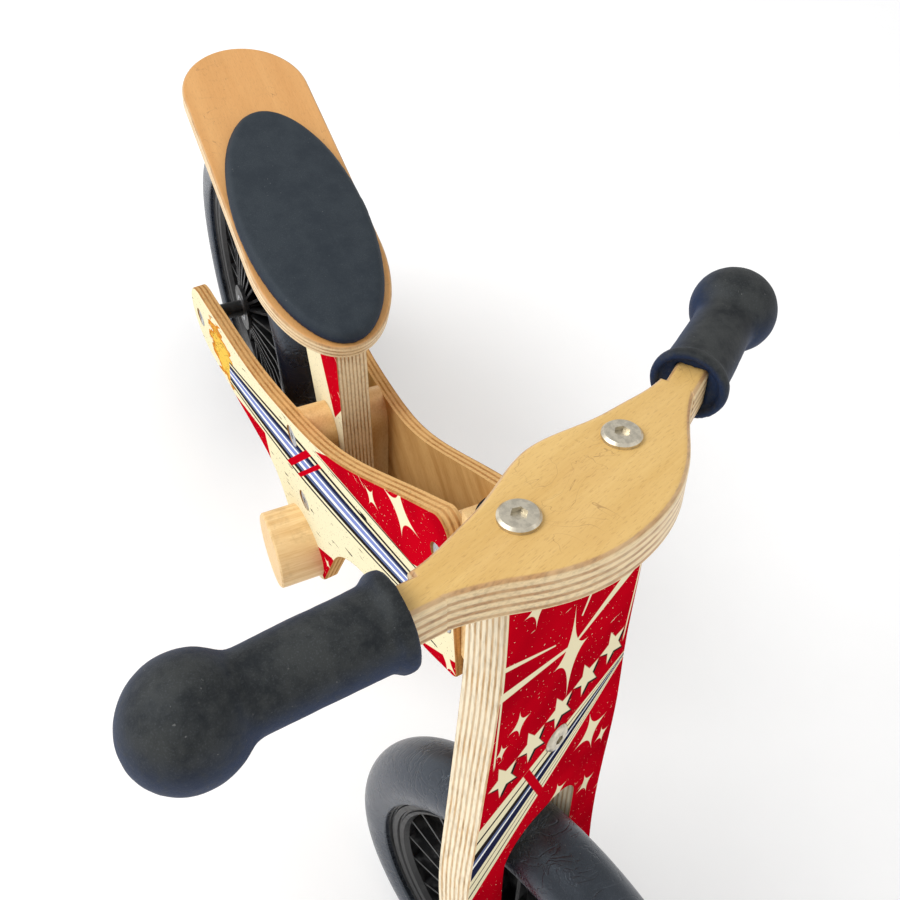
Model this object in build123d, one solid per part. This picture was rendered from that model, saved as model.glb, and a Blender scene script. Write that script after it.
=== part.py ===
from build123d import *
from math import atan, cos, degrees, radians, sin
import os

# Balance bike. +X is forward, +Y is the rider's left, +Z is up. Millimetres.
# The steering is turned to the left by rest_turn, and the seat is at its lowest.

# ---- driving dimensions ----
wheel_radius = 142.5
rear_axle_x = -257.0
front_axle_x = 264.0
rest_turn = 21.0          # how far the steering stands to the left, degrees
rake = 23.4               # steering axis, leaning back, degrees
head_z = 400.0            # height of the head point on the steering axis
fork_offset = 30.4        # front axle ahead of the steering axis

# tyres and wheels
tyre_radius = 21.5        # radius of the tyre's round section
rim_radius = 111.0        # where the tyre sits on the rim
rim_inside = 97.0
rim_half_width = 15.5
fin_count = 24
fin_thickness = 2.4
fin_low = 1.5             # fins below the hub's face
fin_knee = [(22.0, 18.5), (60.0, 10.5)]   # radius and height where a fin's edge bends
fin_end = 8.5             # height at the ring
web_thickness = 3.0
hub_radius = 16.0
hub_flange_radius = 20.0
hub_flange_thickness = 3.0
hub_half_width = 21.5
bearing_radius = 11.0
bearing_width = 7.0
bearing_proud = 0.4       # bearing face outside the hub face
sleeve_radius = 6.0
sleeve_play = 2.0         # room around the sleeve
bearing_groove = (6.4, 8.6)
bearing_groove_depth = 0.5
spacer_radius = 7.0

# bolts and screws
axle_radius = 4.0
head_radius = 8.0         # low round heads of the axles and cross bolts
head_thickness = 2.8
head_depth = 3.0          # depth of the flat recess that a head lies in
nut_sleeve_radius = 5.5
nut_sleeve_length = 5.5
socket_across = 5.0       # hex socket, across flats
screw_radius = 2.2
screw_head_radius = 4.4
screw_point = 3.0
cross_width = 1.0         # the screws' cross slot
cross_depth = 1.2
nut_across = 13.0
nut_height = 6.0

# clearances
run = 0.05                # radial play of a turning shaft
hole = 0.2                # radial play of a bolt in its hole
gap = 0.3                 # between faces that move past each other
slide = 0.2               # seat post to each of its blocks

# side panels: flat boards that toe in from the rear axle to the head
panel_thickness = 10.0
rear_half_width = 57.3    # outer faces, at the rear axle
front_half_width = 17.4   # outer faces, at the steering head point
rear_round = 33.0
rear_round_dx = 12.0
rear_round_dz = 4.5
panel_back = 16.0         # front ends of the panels, behind the steering axis
panel_high = 57.0         # their top corner, along the steering axis from the head point
panel_low = -66.0
panel_corner = 9.0
panel_edge = 1.2          # rounding of the long edges
# share of the way from rear axle to head point, and height above that straight line
top_edge = [(0.109, 21.5), (0.271, 3.7), (0.444, -1.7), (0.590, 3.7), (0.715, 25.5), (0.834, 54.7)]
low_edge = [(0.106, -50.0), (0.228, -70.0), (0.361, -91.5), (0.412, -104.0)]
arm_edge = [(0.725, -103.0), (0.776, -92.0), (0.948, -86.0)]

# foot pegs
peg_x = -39.0
peg_drop = 155.62         # centre, below the line from rear axle to head point
peg_radius = 29.5
peg_length = 29.0
peg_screw_spacing = 28.0
lobe_margin = 4.5         # panel around the peg
notch_rise = 56.0         # front edge of the lobe, above its round end
notch_lean = 7.3          # how far that edge leans forward
peg_screw_length = 26.0
peg_edge = 1.2

# seat post and its blocks
post_bolt_x = -74.0       # upper cross bolt
post_bolt_drop = 20.68    # below the line from rear axle to head point
post_tilt = 23.4
post_bolt_spacing = 63.0
post_depth = 60.0
post_thickness = 20.0
post_travel = 40.0
post_foot = 15.0          # wood below the slot
post_corner = 7.0
post_knee = 60.0          # bend from the post to the flare
flare_x = -189.0          # rear end of the flare, under the seat
flare_start = -5.0
block_radius = 18.0

# seat
seat_top = 344.5
seat_thickness = 10.0
seat_half_width = 45.0
seat_rear_x = -302.0      # centre of the round rear end
seat_nose_x = -150.0      # centre of the long nose
seat_nose = 77.0
seat_edge = 2.0
pad_x = -175.0
pad_half_length = 99.5
pad_half_width = 43.5
pad_thickness = 9.0
pad_bevel = 3.5
seat_screw_x = [-168.0, -135.0, -102.0]
seat_screw_length = 38.0

# head block, steering pin and bracket; w is along the steering axis, u ahead of it, v left
head_low = -45.0
head_high = 59.0
nose_radius = 14.0
tongue_length = 30.0
tongue_below = 12.0       # tongue's edges, lower than the panels'
pin_radius = 5.0
pin_head_radius = 9.0
pin_head_height = 5.0
pin_nut_across = 16.0
pin_nut_height = 7.0
pin_end = 2.0             # thread below the nut
bush_wall = 2.0
bush_flange = 1.5
bush_flange_wide = 4.0    # flange beyond the bush's wall
bush_length = 18.0
bracket_thickness = 4.0
bracket_corner = 6.0
bracket_half_width = 18.0
bracket_low = -78.0
bracket_high = 83.0
bracket_u = 22.0          # face of the bracket's plate on the fork board
bracket_bolt_w = -63.0
bracket_screw_w = 74.0
bracket_screw_v = 11.0
bracket_screw_length = 18.0
bracket_bolt_head = 4.0   # thickness of the head that shows in front
bracket_bolt_sunk = 2.0   # how deep its recess is
head_bolt_back = 27.0
head_bolt_w = [20.0, -26.0]

# fork board
fork_thickness = 21.0
fork_top = 91.5
# u of the board's middle, and half of its width, each at a share of the way from the top to the axle
fork_middle = [(32.0, 0.0), (31.0, 0.193), (28.5, 0.336), (27.0, 0.471), (24.0, 0.635), (23.5, 0.765),
               (26.0, 0.894)]
fork_width = [(49.0, 0.0), (50.0, 0.238), (53.0, 0.367), (57.0, 0.497), (58.5, 0.627), (57.0, 0.765),
              (55.0, 0.894)]
fork_foot_half = 52.5
fork_foot = 24.0          # wood below the axle
fork_foot_u = 3.0         # how far the foot curves on ahead of the axle
fork_foot_corner = 10.0
slot_half_width = 30.0
slot_clearance = 17.0     # above the tyre
slot_corner = 24.0

# handlebar board
bar_thickness = 18.0
bar_back = [(20.2, 77.0), (20.0, 64.0), (18.2, 51.0), (16.0, 36.0), (12.0, 21.0)]
bar_front = [(36.5, 81.0), (40.7, 71.0), (47.6, 58.8), (55.7, 46.7), (62.5, 34.0), (67.2, 20.0)]
bar_back_middle = 8.0
bar_front_middle = 69.4
bar_round = 3.0
bar_bolt_v = 31.8
bar_bolt_head = 8.6
bar_bolt_dome = 2.6
bar_bolt_edge = 1.1
bar_bolt_socket = 2.2     # depth
barrel_radius = 6.0
barrel_length = 15.0
barrel_drop = 45.0
bar_bolt_extra = 1.0      # hex socket, wider than in the other bolts
arm_width = 15.0
arm_length = 62.0
arm_root = 15.0           # arm inside the board
neck_u = 27.7             # middle of the neck, at the grip's inner end
neck_v = 88.8
sweep = 14.5

# grips
grip_flange_radius = 18.3
grip_flange_thickness = 5.0
grip_radius_in = 15.7
grip_radius_out = 14.6
grip_ball = 21.7
grip_length = 72.9        # inner end to the ball's centre
grip_mouth_radius = 14.2
grip_mouth_depth = 3.0
grip_cone = 3.5           # slope behind the flange
grip_lip = 2.0
grip_neck = 7.0           # rounding between tube and ball

# ---- places worked out from the dimensions ----
k = radians(rake)
axle_w = (wheel_radius - head_z - fork_offset * sin(k)) / cos(k)
head_x = front_axle_x - fork_offset * cos(k) + axle_w * sin(k)
line_slope = (head_z - wheel_radius) / (head_x - rear_axle_x)
peg_z = wheel_radius + line_slope * (peg_x - rear_axle_x) - peg_drop
post_bolt_z = wheel_radius + line_slope * (post_bolt_x - rear_axle_x) - post_bolt_drop
toe = atan((rear_half_width - front_half_width) / (head_x - rear_axle_x))
head_frame = Pos(head_x, 0, head_z) * Rot(0, -rake, 0)
steer_frame = head_frame * Rot(0, 0, rest_turn)
post_frame = Pos(post_bolt_x, 0, post_bolt_z) * Rot(0, -post_tilt, 0)
right_panel_frame = Pos(rear_axle_x, -rear_half_width, 0) * Rot(0, 0, degrees(toe))
bar_w = fork_top + bar_thickness
bar_bolt_u = fork_middle[0][0]
slot_top = axle_w + wheel_radius + slot_clearance
far = 600.0
front_floor = fork_foot_half - head_depth + 1.0   # v of the front axle's recess floors


def side_point(u, w):
    """X and Z of a point given along and ahead of the steering axis."""
    return (head_x + u * cos(k) - w * sin(k), head_z + u * sin(k) + w * cos(k))


def post_point(u, w):
    """X and Z of a point given along and ahead of the seat post."""
    t = radians(post_tilt)
    return (post_bolt_x + u * cos(t) - w * sin(t), post_bolt_z + u * sin(t) + w * cos(t))


def line_point(share, rise):
    """X and Z of a point above the straight line from rear axle to head point."""
    x = rear_axle_x + share * (head_x - rear_axle_x)
    z = wheel_radius + share * (head_z - wheel_radius) + rise
    return (x, z)


def flat(point):
    """The same point measured along a toed-in panel from the rear axle."""
    return (rear_axle_x + (point[0] - rear_axle_x) / cos(toe), point[1])


def outer_half(x):
    """Half of the width over the panels at x."""
    share = (x - rear_axle_x) / (head_x - rear_axle_x)
    return rear_half_width + share * (front_half_width - rear_half_width)


def along_y(radius, y0, y1, x=0.0, z=0.0):
    """Round bar along Y between two places."""
    return Pos(x, (y0 + y1) / 2, z) * Rot(90, 0, 0) * Cylinder(radius, abs(y1 - y0))


def along_x(radius, x0, x1, y=0.0, z=0.0):
    """Round bar along X between two places."""
    return Pos((x0 + x1) / 2, y, z) * Rot(0, 90, 0) * Cylinder(radius, abs(x1 - x0))


def along_z(radius, z0, z1, x=0.0, y=0.0):
    """Round bar along Z between two places."""
    return Pos(x, y, (z0 + z1) / 2) * Cylinder(radius, abs(z1 - z0))


def slab(x0, x1, y0, y1, z0, z1):
    """Box between two corners."""
    return Pos((x0 + x1) / 2, (y0 + y1) / 2, (z0 + z1) / 2) * Box(abs(x1 - x0), abs(y1 - y0), abs(z1 - z0))


def mirrored(shape):
    """The same piece on the rider's left."""
    return mirror(shape, about=Plane.XZ)


def plate_xz(face, y0, y1):
    """A face drawn in X and Z, made solid from y0 to y1."""
    solid = extrude(Plane.XZ * face, amount=-(y1 - y0))
    return Pos(0, y0, 0) * solid


def between_panels(inside):
    """The wedge of space between the panels' faces; inside is the thickness taken off each side."""
    points = []
    for x in (rear_axle_x - far, head_x + 100.0):
        points.append((x, outer_half(x) - inside / cos(toe)))
    wedge = make_face(Polyline(points[0], points[1], (points[1][0], -far), (points[0][0], -far), close=True))
    left = extrude(wedge, amount=2 * far)
    return left & mirrored(left)


# ---- bolts, nuts and screws ----
def hex_socket(depth, across=socket_across):
    """Hexagonal cut along Z, from the top of a head at zero down to a depth."""
    return extrude(RegularPolygon(across / 2, 6, major_radius=False), amount=depth, both=True)


def axle_bolt(floor_y, x, z):
    """Bolt along Y: a low round head in the right recess, a shank that ends in the left nut."""
    head = along_y(head_radius, -floor_y - head_thickness, -floor_y, x, z)
    head = fillet(head.edges().filter_by(GeomType.CIRCLE).sort_by(Axis.Y)[0], 1.0)
    shank = along_y(axle_radius, -floor_y, floor_y - 1.0, x, z)
    return head + shank - Pos(x, -floor_y - head_thickness, z) * Rot(90, 0, 0) * hex_socket(1.8)


def sleeve_nut(floor_y, x, z):
    """Nut with the same low head on the left, and a sleeve that runs into the wood."""
    head = along_y(head_radius, floor_y, floor_y + head_thickness, x, z)
    head = fillet(head.edges().filter_by(GeomType.CIRCLE).sort_by(Axis.Y)[-1], 1.0)
    sleeve = along_y(nut_sleeve_radius, floor_y - nut_sleeve_length, floor_y, x, z)
    bore = along_y(axle_radius + run, floor_y - nut_sleeve_length, floor_y, x, z)
    return head + sleeve - bore - Pos(x, floor_y + head_thickness, z) * Rot(90, 0, 0) * hex_socket(1.4)


def bolt_hole(floor_y, x, z):
    """Hole for a bolt along Y, with a recess for each head and room for the nut's sleeve."""
    through = along_y(axle_radius + hole, -far, far, x, z)
    right = along_y(head_radius + hole, -far, -floor_y, x, z)
    left = along_y(head_radius + hole, floor_y, far, x, z)
    sleeve = along_y(nut_sleeve_radius + hole, floor_y - nut_sleeve_length, floor_y, x, z)
    return through + right + left + sleeve


def wood_screw(length):
    """Countersunk screw along Z, with its head's top at zero and its point below."""
    taper = screw_head_radius - screw_radius
    cone = Pos(0, 0, -taper / 2) * Cone(screw_radius, screw_head_radius, taper)
    body = along_z(screw_radius, -length + screw_point, -taper)
    point = Pos(0, 0, -length + screw_point / 2) * Cone(0.5, screw_radius, screw_point)
    half = cross_width / 2
    cross = slab(-screw_radius, screw_radius, -half, half, -cross_depth, 1.0)
    cross = cross + Rot(0, 0, 90) * cross
    return cone + body + point - cross


def screw_room(length):
    """The space that a wood screw takes."""
    taper = screw_head_radius - screw_radius
    cone = Pos(0, 0, -taper / 2) * Cone(screw_radius, screw_head_radius, taper)
    return cone + along_z(screw_radius, -length, -taper) + along_z(screw_head_radius, 0.0, 1.0)


def bolt_places():
    """X, Z and recess floor of each bolt that clamps the panels, axle first."""
    places = [(rear_axle_x, wheel_radius)]
    for w in (0.0, -post_bolt_spacing):
        places.append(post_point(0.0, w))
    for w in head_bolt_w:
        places.append(side_point(-head_bolt_back, w))
    return [(x, z, outer_half(x) - head_depth) for x, z in places]


# ---- frame ----
def edge_points(edge):
    """An edge's points in the panel's own plane."""
    return [flat(line_point(share, rise)) for share, rise in edge]


def panel_outline():
    """Side panel's outline in its own plane."""
    centre = (rear_axle_x + rear_round_dx, wheel_radius + rear_round_dz)
    rear = CenterArc(centre, rear_round, 105, 173)
    lobe = CenterArc(flat((peg_x, peg_z)), peg_radius + lobe_margin, 225, 125)
    high = flat(side_point(-panel_back, panel_high))
    low = flat(side_point(-panel_back, panel_low))
    notch = (lobe @ 1) + Vector(notch_lean, notch_rise)
    top = Spline([rear @ 0] + edge_points(top_edge) + [high], tangents=[-(rear % 0), (0.55, 0.83)])
    bottom = Spline([rear @ 1] + edge_points(low_edge) + [lobe @ 0], tangents=[rear % 1, lobe % 0])
    lobe_front = Line(lobe @ 1, notch)
    arm = Spline([notch] + edge_points(arm_edge) + [low], tangents=[lobe_front % 1, (0.7, 0.72)])
    front = Line(low, high)
    face = make_face([rear, bottom, lobe, lobe_front, arm, front, top])
    corners = [face.vertices().sort_by_distance((x, z, 0))[0] for x, z in (high, low)]
    return fillet(corners, panel_corner)


def side_panel(side):
    """Flat board, drawn square to itself and then toed in; holes run along Y."""
    board = plate_xz(panel_outline(), 0.0, panel_thickness)
    board = fillet(board.faces().sort_by(Axis.Y)[0].edges(), panel_edge)
    board = right_panel_frame * Pos(-rear_axle_x, 0, 0) * board
    board = board - peg_screw_rooms()
    if side > 0:
        board = mirrored(board)
    for x, z, floor_y in bolt_places():
        board = board - bolt_hole(floor_y, x, z)
    return board


def peg_screw_places():
    """Where the peg screws start: on the right panel's inner face, pointing outwards."""
    places = []
    along = (peg_x - rear_axle_x) / cos(toe)
    for side in (-1, 1):
        spot = Pos(along + side * peg_screw_spacing / 2, panel_thickness, peg_z)
        places.append(right_panel_frame * spot * Rot(-90, 0, 0))
    return places


def peg_screw_rooms():
    """The space that the peg screws take."""
    return [place * screw_room(peg_screw_length) for place in peg_screw_places()]


def foot_peg_screws():
    """Two wood screws into each peg."""
    right = [place * wood_screw(peg_screw_length) for place in peg_screw_places()]
    return right + [mirrored(screw) for screw in right]


def foot_peg_right():
    """Round peg, cut to the slant of the panel that it stands on."""
    end = outer_half(peg_x) + peg_length
    dowel = along_y(peg_radius, -end, 0.0, peg_x, peg_z)
    dowel = chamfer(dowel.edges().filter_by(GeomType.CIRCLE).sort_by(Axis.Y)[0], peg_edge)
    return dowel - between_panels(0.0) - peg_screw_rooms()


def head_block():
    """Wedge between the panels' front ends, with a round nose that holds the steering pin."""
    back = -panel_back - tongue_length
    tongue = slab(back, -panel_back + 0.01, -far, far, head_low, head_high)
    tongue = head_frame * tongue & between_panels(panel_thickness)
    lowered = Pos(tongue_below * sin(k), 0, -tongue_below * cos(k)) * plate_xz(panel_outline(), -far, far)
    tongue = tongue & lowered
    nose = along_z(nose_radius, head_low, head_high)
    nose = nose + slab(-panel_back, 0.0, -nose_radius, nose_radius, head_low, head_high)
    block = tongue + head_frame * nose
    room = along_z(pin_radius + bush_wall, head_low - 1, head_low + bush_length)
    room = room + along_z(pin_radius + bush_wall, head_high - bush_length, head_high + 1)
    room = room + along_z(pin_radius + 1.0, head_low, head_high)
    block = block - head_frame * room
    for x, z, floor_y in bolt_places()[3:]:
        block = block - bolt_hole(floor_y, x, z)
    return block


def steering_bushes():
    """Flanged bushes at both ends of the head block."""
    outer = along_z(pin_radius + bush_wall, head_low, head_low + bush_length)
    flange = along_z(pin_radius + bush_wall + bush_flange_wide, head_low - bush_flange, head_low)
    bore = along_z(pin_radius + run, head_low - 5, head_low + bush_length + 5)
    lower = outer + flange - bore
    middle = (head_low + head_high) / 2
    upper = mirror(lower, about=Plane.XY.offset(middle))
    return [head_frame * lower, head_frame * upper]


def post_block(side):
    """Filler between the post and one panel, round at both cross bolts."""
    straight = slab(-block_radius, block_radius, post_thickness / 2 + slide, far, -post_bolt_spacing, 0.0)
    ends = along_y(block_radius, post_thickness / 2 + slide, far)
    block = straight + ends + Pos(0, 0, -post_bolt_spacing) * ends
    block = post_frame * block & between_panels(panel_thickness)
    for x, z, floor_y in bolt_places()[1:3]:
        block = block - along_y(axle_radius + hole, -far, far, x, z)
    return block if side > 0 else mirrored(block)


def cross_bolts():
    return [axle_bolt(floor_y, x, z) for x, z, floor_y in bolt_places()[1:3]]


def cross_bolt_nuts():
    return [sleeve_nut(floor_y, x, z) for x, z, floor_y in bolt_places()[1:3]]


def head_bolts():
    return [axle_bolt(floor_y, x, z) for x, z, floor_y in bolt_places()[3:]]


def head_bolt_nuts():
    return [sleeve_nut(floor_y, x, z) for x, z, floor_y in bolt_places()[3:]]


def rear_axle():
    x, z, floor_y = bolt_places()[0]
    return axle_bolt(floor_y, x, z)


def rear_axle_nut():
    x, z, floor_y = bolt_places()[0]
    return sleeve_nut(floor_y, x, z)


def rear_spacers():
    """Tubes from the rear hub to the panels."""
    start = hub_half_width + bearing_proud + gap
    tube = along_y(spacer_radius, start, rear_half_width, rear_axle_x, wheel_radius)
    tube = tube - along_y(axle_radius + hole, 0.0, rear_half_width, rear_axle_x, wheel_radius)
    tube = tube & between_panels(panel_thickness)
    return [tube, mirrored(tube)]


# ---- wheels, drawn about Y at the origin ----
def tyre():
    ring = Rot(90, 0, 0) * Torus(wheel_radius - tyre_radius, tyre_radius)
    ring = ring - along_y(rim_radius, -far, far)
    return fillet(ring.edges().filter_by(GeomType.CIRCLE).sort_by(Axis.Y)[0], 1.5)


def wheel_rim():
    """Ring with stepped grooves on both faces, which the tyre sits on."""
    step = [(rim_inside, 0.0), (rim_inside, 9.0), (99.0, 12.6), (101.6, 13.6), (102.2, 12.6), (103.4, 12.6)]
    step = step + [(104.0, 14.0), (107.6, 14.8), (108.2, 13.9), (109.2, 13.9), (109.6, rim_half_width)]
    step = step + [(rim_radius, rim_half_width), (rim_radius, 0.0)]
    half = make_face(Polyline(step, close=True))
    ring = revolve(Plane.XY * half, Axis.Y)
    return ring + mirrored(ring)


def wheel_disc():
    """Middle of the wheel inside the ring: web, hub and thin radial fins."""
    web = along_y(rim_inside, -web_thickness / 2, web_thickness / 2)
    hub = along_y(hub_radius, -hub_half_width, hub_half_width)
    collar = along_y(hub_flange_radius, hub_half_width - hub_flange_thickness, hub_half_width)
    blade_start = hub_radius - 1.0
    fin = [(blade_start, 0.0), (blade_start, hub_half_width - fin_low), (fin_knee[0][0], fin_knee[0][1])]
    fin = fin + [fin_knee[1], (rim_inside + 1.0, fin_end), (rim_inside + 1.0, 0.0)]
    blade = extrude(make_face(Polyline(fin, close=True)), amount=fin_thickness / 2, both=True)
    blade = blade + mirrored(blade)
    fins = [Rot(0, 360.0 * i / fin_count, 0) * blade for i in range(fin_count)]
    disc = web + hub + collar + mirrored(collar) + fins
    disc = disc & along_y(rim_inside, -far, far)
    seat_depth = hub_half_width + bearing_proud - bearing_width
    disc = disc - along_y(bearing_radius, seat_depth, far) - along_y(bearing_radius, -far, -seat_depth)
    return disc - along_y(sleeve_radius + sleeve_play, -far, far)


def wheel_bearings():
    """One ball bearing at each end of the hub, as a ring with a shield groove on each face."""
    outside = hub_half_width + bearing_proud
    ring = along_y(bearing_radius, outside - bearing_width, outside)
    ring = ring - along_y(axle_radius + run, 0.0, 2 * outside)
    floor = outside - bearing_groove_depth
    groove = along_y(bearing_groove[1], floor, outside + 1) - along_y(bearing_groove[0], floor, outside + 1)
    ring = ring - groove
    return [ring, mirrored(ring)]


def wheel_sleeve():
    """Tube between the two bearings."""
    end = hub_half_width + bearing_proud - bearing_width
    return along_y(sleeve_radius, -end, end) - along_y(axle_radius + run, -far, far)


# ---- steering, in the steering frame ----
def fork_height(share):
    """w at a share of the way from the fork board's top to the axle."""
    return fork_top + share * (axle_w - fork_top)


def fork_profile():
    """Fork board seen from the side, in u and w."""
    points = [(u, fork_height(share)) for u, share in fork_middle]
    points.append((fork_offset, axle_w))
    points.append((fork_offset + fork_foot_u, axle_w - fork_foot))
    half = fork_thickness / 2
    middle = Spline(points)
    front = Pos(half, 0) * middle
    back = Pos(-half, 0) * middle
    return make_face([front, Line(front @ 1, back @ 1), back, Line(back @ 0, front @ 0)])


def fork_outline():
    """Fork board seen from the front, in v and w, with the slot for the wheel."""
    foot_w = axle_w - fork_foot
    edge = Spline([(v, fork_height(share)) for v, share in fork_width] + [(fork_foot_half, foot_w)])
    other = mirror(edge, about=Plane.YZ)
    face = make_face([edge, Line(edge @ 1, other @ 1), other, Line(other @ 0, edge @ 0)])
    slot_height = slot_top - foot_w
    slot = Pos(0, slot_top - slot_height) * Rectangle(2 * slot_half_width, 2 * slot_height)
    slot = fillet(slot.vertices().group_by(Axis.Y)[-1], slot_corner)
    legs = face - slot
    return fillet(legs.vertices().group_by(Axis.Y)[0], fork_foot_corner)


def fork_board():
    side = plate_xz(fork_profile(), -far, far)
    outline = extrude(Plane.YZ * fork_outline(), amount=far, both=True)
    board = side & outline
    pocket_half = bracket_half_width + hole
    pocket = slab(-far, bracket_u, -pocket_half, pocket_half, bracket_low - 1, far)
    board = board - pocket
    barrel_w = fork_top - barrel_drop
    for v in (-bar_bolt_v, bar_bolt_v):
        board = board - along_z(axle_radius + hole, barrel_w - 2 * barrel_radius, far, bar_bolt_u, v)
        board = board - along_x(barrel_radius + hole, -far, barrel_end(), v, barrel_w)
    board = board - along_x(axle_radius + hole, -far, far, 0.0, bracket_bolt_w)
    board = board - along_x(head_radius + hole, bracket_head(), far, 0.0, bracket_bolt_w)
    for place in bracket_screw_places():
        board = board - place * screw_room(bracket_screw_length)
    board = board - bolt_hole(front_floor, fork_offset, axle_w)
    return steer_frame * board


def bracket_head():
    """u of the flat recess for the bracket bolt's head."""
    return fork_at(bracket_bolt_w) + fork_thickness / 2 - bracket_bolt_sunk


def fork_at(w):
    """u of the fork board's middle at a height, between the two nearest points."""
    share = (w - fork_top) / (axle_w - fork_top)
    below = next(i for i, point in enumerate(fork_middle) if point[1] > share)
    (u0, s0), (u1, s1) = fork_middle[below - 1], fork_middle[below]
    return u0 + (u1 - u0) * (share - s0) / (s1 - s0)


def barrel_end():
    """u of the front ends of the barrel nuts."""
    return fork_at(fork_top - barrel_drop) + barrel_length / 2


def handlebar_bolts():
    """Flat-headed bolts from the top of the handlebar board down into the fork board."""
    bolts = []
    for v in (-bar_bolt_v, bar_bolt_v):
        head = along_z(bar_bolt_head, bar_w, bar_w + bar_bolt_dome, bar_bolt_u, v)
        head = chamfer(head.edges().filter_by(GeomType.CIRCLE).sort_by(Axis.Z)[-1], bar_bolt_edge)
        shank = along_z(axle_radius, fork_top - barrel_drop - barrel_radius, bar_w, bar_bolt_u, v)
        socket = hex_socket(bar_bolt_socket, socket_across + bar_bolt_extra)
        socket = Pos(bar_bolt_u, v, bar_w + bar_bolt_dome) * socket
        bolts.append(steer_frame * (head + shank - socket))
    return bolts


def handlebar_barrel_nuts():
    """Round nuts across the board, which the handlebar bolts go through."""
    nuts = []
    for v in (-bar_bolt_v, bar_bolt_v):
        nut = along_x(barrel_radius, barrel_end() - barrel_length, barrel_end(), v, fork_top - barrel_drop)
        nuts.append(steer_frame * (nut - along_z(axle_radius + run, 0.0, far, bar_bolt_u, v)))
    return nuts


def bar_outline():
    """Handlebar board from above, in u and v, with its two arms."""
    back = [(u, v) for u, v in bar_back] + [(bar_back_middle, 0)] + [(u, -v) for u, v in reversed(bar_back)]
    front = [(u, v) for u, v in bar_front] + [(bar_front_middle, 0)]
    front = front + [(u, -v) for u, v in reversed(bar_front)]
    rear_edge = Spline(back)
    front_edge = Spline(front)
    ends = [Line(rear_edge @ 1, front_edge @ 1), Line(front_edge @ 0, rear_edge @ 0)]
    leaf = make_face([rear_edge, ends[0], front_edge, ends[1]])
    for side in (-1, 1):
        arm = Pos(0, side * (arm_length - arm_root) / 2) * Rectangle(arm_width, arm_length + arm_root)
        leaf = leaf + Pos(neck_u, side * neck_v) * Rot(0, 0, side * sweep) * arm
    return leaf


def handlebar_board():
    board = Pos(0, 0, fork_top) * extrude(bar_outline(), amount=bar_thickness)
    board = fillet(board.faces().sort_by(Axis.Z)[-1].edges(), bar_round)
    for v in (-bar_bolt_v, bar_bolt_v):
        board = board - along_z(axle_radius + hole, 0.0, far, bar_bolt_u, v)
    return steer_frame * board


def rings(body, low, high, radius):
    """Circular edges between two places along Y that are wider than a radius."""
    circles = body.edges().filter_by(GeomType.CIRCLE)
    return [edge for edge in circles if low < edge.center().Y < high and edge.radius > radius]


def grip(side):
    """Foam grip: inner flange, tube and ball, turned about the arm."""
    start = grip_length - (grip_ball**2 - grip_radius_out**2) ** 0.5
    tube_start = grip_flange_thickness + grip_cone
    wall = Polyline((0, 0), (grip_flange_radius, 0), (grip_flange_radius, grip_flange_thickness),
                    (grip_radius_in, tube_start), (grip_radius_out, start))
    ball = ThreePointArc(wall @ 1, (grip_ball, grip_length), (0, grip_length + grip_ball))
    body = revolve(make_face([wall, ball, Line(ball @ 1, (0, 0))]), Axis.Y)
    body = fillet(rings(body, -1.0, tube_start - 1.0, grip_radius_in), grip_lip)
    body = fillet(rings(body, start - 0.1, start + 0.1, 0.0), grip_neck)
    body = body - along_y(grip_mouth_radius, -1.0, grip_mouth_depth)
    half = arm_width / 2
    body = body - slab(-half, half, -arm_root, arm_length, -bar_thickness / 2, bar_thickness / 2)
    turned = body if side > 0 else Rot(0, 0, 180) * body
    place = Pos(neck_u, side * neck_v, bar_w - bar_thickness / 2) * Rot(0, 0, side * sweep)
    return steer_frame * place * turned


def steering_bracket():
    """Steel channel: a plate on the fork board and an ear above and below the head block."""
    plate = slab(bracket_u - bracket_thickness, bracket_u, -bracket_half_width, bracket_half_width,
                 bracket_low, bracket_high)
    plate = fillet(plate.edges().filter_by(Axis.X), bracket_corner)
    for w in ear_places():
        ear = along_z(nose_radius, w, w + bracket_thickness)
        ear = ear + slab(0, bracket_u - 1, -nose_radius, nose_radius, w, w + bracket_thickness)
        plate = plate + ear - along_z(pin_radius + run, w - 1, w + bracket_thickness + 1)
    plate = plate - along_x(axle_radius + hole, -far, far, 0.0, bracket_bolt_w)
    for place in bracket_screw_places():
        plate = plate - place * screw_room(bracket_screw_length)
    return steer_frame * plate


def ear_places():
    """Lower face of each ear."""
    lower = head_low - bush_flange - slide - bracket_thickness
    upper = head_high + bush_flange + slide
    return [lower, upper]


def bracket_screw_places():
    """Where the bracket's wood screws start, pointing forward."""
    spots = []
    for v in (-bracket_screw_v, bracket_screw_v):
        spots.append(Pos(bracket_u - bracket_thickness, v, bracket_screw_w) * Rot(0, -90, 0))
    return spots


def bracket_screws():
    return [steer_frame * place * wood_screw(bracket_screw_length) for place in bracket_screw_places()]


def bracket_bolt():
    """The bolt whose head shows on the front of the fork board."""
    floor_u = bracket_head()
    top_u = floor_u + bracket_bolt_head
    head = along_x(head_radius, floor_u, top_u, 0.0, bracket_bolt_w)
    head = fillet(head.edges().filter_by(GeomType.CIRCLE).sort_by(Axis.X)[-1], 2.5)
    end_u = bracket_u - bracket_thickness - nut_height
    shank = along_x(axle_radius, end_u, floor_u, 0.0, bracket_bolt_w)
    socket = Pos(top_u, 0, bracket_bolt_w) * Rot(0, 90, 0) * hex_socket(bracket_bolt_head / 2)
    return steer_frame * (head + shank - socket)


def hex_nut(across, height, bore):
    """Hexagonal nut on the XY plane."""
    nut = extrude(RegularPolygon(across / 2, 6, major_radius=False), amount=height)
    return nut - Cylinder(bore, 4 * height)


def bracket_nut():
    nut = hex_nut(nut_across, nut_height, axle_radius + run)
    place = Pos(bracket_u - bracket_thickness, 0, bracket_bolt_w) * Rot(0, -90, 0)
    return steer_frame * place * nut


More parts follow.
